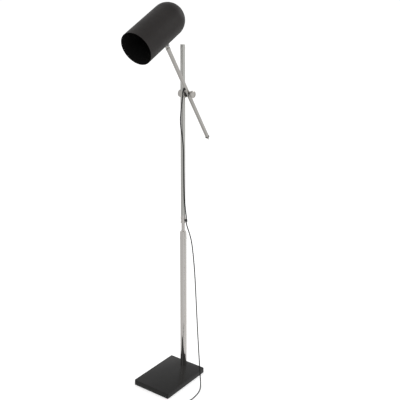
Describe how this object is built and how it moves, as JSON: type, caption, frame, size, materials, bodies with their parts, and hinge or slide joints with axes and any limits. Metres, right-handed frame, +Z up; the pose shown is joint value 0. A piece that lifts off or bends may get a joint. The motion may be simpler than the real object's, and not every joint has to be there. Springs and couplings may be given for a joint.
{
  "type": "adjustable arm floor lamp",
  "caption": "Chrome reading lamp on a weighted black plate, with a sliding swivel clamp, a tilting arm and a long black capsule shade.",
  "frame": {"origin": "on the floor, on the pole's axis", "axes": "+Z is up along the pole, +X is the side of the clamp that carries the arm and the knob, and -Y is the front, where the shade and the long end of the plate are"},
  "size_m": [0.4015, 0.5024, 1.6504],
  "materials": {
    "chrome": "bright polished plating",
    "satin_black": "satin black stove enamel",
    "gloss_black": "gloss black lacquer",
    "black_plastic": "fine matt black",
    "rubber": "matt black",
    "cord": "smooth satin black jacket",
    "zinc_steel": "bright zinc plate",
    "brass": "plain machined",
    "ceramic": "glazed white",
    "nylon": "natural",
    "felt": "pressed wool felt",
    "frosted_glass": "frosted white"
  },
  "bodies": {
    "stand": {"base_plate": "gloss_black", "base_felt": "felt", "base_washer": "zinc_steel", "base_bolt": "zinc_steel", "tube_foot_plug": "zinc_steel", "lower_tube": "chrome", "lower_tube_collar": "chrome", "pole_spigot": "chrome", "spigot_bush": "nylon", "pole_adapter": "chrome", "upper_pole": "chrome", "pole_cap": "chrome", "cord_clip": "black_plastic", "cord_upper": "cord", "cord_lower": "cord", "cord_link": "cord", "cord_tail": "cord", "cord_coil": "cord", "coil_tie": "rubber", "switch_boot_back": "rubber", "switch_boot_front": "rubber", "switch_base": "black_plastic", "switch_cover": "black_plastic", "plug_boot": "rubber", "plug_body": "black_plastic", "plug_blade_left": "brass", "plug_blade_right": "brass"},
    "carriage": {"clamp_liner": "nylon"},
    "clamp": {"clamp_barrel": "chrome", "pressure_pad": "brass", "clamp_screw": "zinc_steel"},
    "knob": {"clamp_knob": "chrome"},
    "arm": {"arm_tube": "chrome", "arm_end_cap": "chrome", "arm_cap_ring": "rubber", "arm_ferrule": "chrome", "saddle_inner": "black_plastic", "saddle_outer": "black_plastic", "cord_grommet": "rubber", "cord_boot": "rubber", "arm_lead": "cord", "knuckle_tongue": "chrome"},
    "shade": {"shade_shell": "satin_black", "knuckle_fork": "chrome", "knuckle_screw": "zinc_steel", "knuckle_nut": "zinc_steel", "holder_bracket": "zinc_steel", "nipple_nut": "brass", "lampholder": "ceramic", "holder_nut": "brass", "screw_shell": "brass", "centre_contact": "brass", "bulb_cap": "zinc_steel", "bulb_glass": "frosted_glass", "holder_lead": "cord"},
    "foot_button": {"switch_button": "black_plastic"}
  },
  "joints": [
    {"name": "clamp_slide", "type": "slide", "parent": "stand", "child": "carriage", "axis": [0, 0, 1], "range_m": [-0.28, 0.15], "deforming": ["cord_upper"]},
    {"name": "clamp_swivel", "type": "hinge", "parent": "carriage", "child": "clamp", "pos_m": [0, 0, 1.289], "axis": [0, 0, 1], "range_deg": [-135, 135]},
    {"name": "arm_tilt", "type": "hinge", "parent": "clamp", "child": "arm", "pos_m": [0.0283, 0, 1.289], "axis": [1, 0, 0], "range_deg": [-4, 60]},
    {"name": "shade_tilt", "type": "hinge", "parent": "arm", "child": "shade", "pos_m": [0.0283, -0.1383, 1.4888], "axis": [1, 0, 0], "range_deg": [-22, 55]},
    {"name": "knob_turn", "type": "hinge", "parent": "clamp", "child": "knob", "pos_m": [0.0283, 0, 1.289], "axis": [1, 0, 0], "range_deg": [0, 360]},
    {"name": "switch_press", "type": "slide", "parent": "stand", "child": "foot_button", "axis": [0, 0, -1], "range_m": [0, 0.0035], "stiffness_N_per_m": 900}
  ]
}
